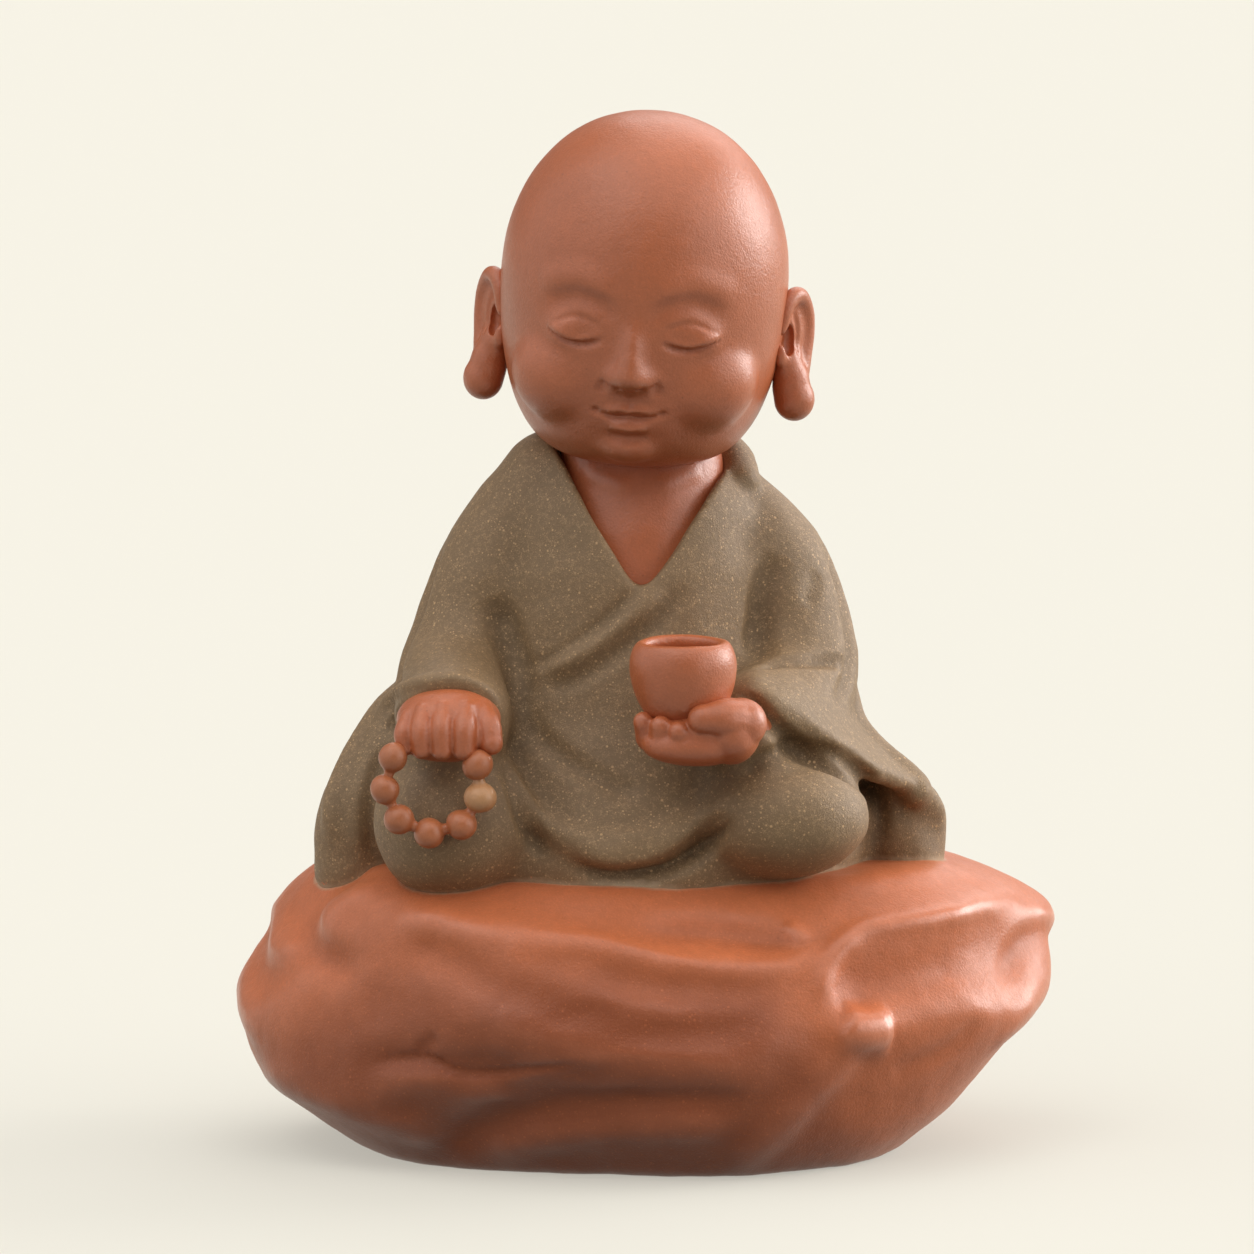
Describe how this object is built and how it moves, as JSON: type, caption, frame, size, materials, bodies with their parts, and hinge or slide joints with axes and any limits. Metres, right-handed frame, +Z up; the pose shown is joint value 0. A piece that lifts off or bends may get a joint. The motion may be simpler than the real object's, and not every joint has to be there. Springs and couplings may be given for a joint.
{
  "type": "monk tea pet",
  "caption": "Small seated clay monk on a rock, with long ears, a crossed robe, a tea cup in one hand and a ring of beads under the other; a tea tray ornament.",
  "frame": {"origin": "middle of the rock's underside, at the height of the foot ring", "axes": "+Z up, the figure faces -Y, its cup hand is on the +X side and its beads on the -X side"},
  "size_m": [0.0949, 0.0713, 0.1203],
  "materials": {
    "rock_clay": "satin",
    "red_clay": "satin",
    "robe_clay": "matte",
    "bead_clay": "satin",
    "pale_bead_clay": "satin"
  },
  "bodies": {
    "root": {"rock_base": "rock_clay", "robe_body": "robe_clay", "right_sleeve": "robe_clay", "left_sleeve": "robe_clay", "chest": "red_clay", "head": "red_clay", "right_ear": "red_clay", "left_ear": "red_clay", "right_hand": "red_clay", "left_hand": "red_clay", "tea_cup": "red_clay", "bead_1": "bead_clay", "bead_2": "bead_clay", "bead_3": "bead_clay", "bead_4": "bead_clay", "bead_5": "bead_clay", "bead_6": "pale_bead_clay", "bead_7": "bead_clay"}
  },
  "joints": []
}
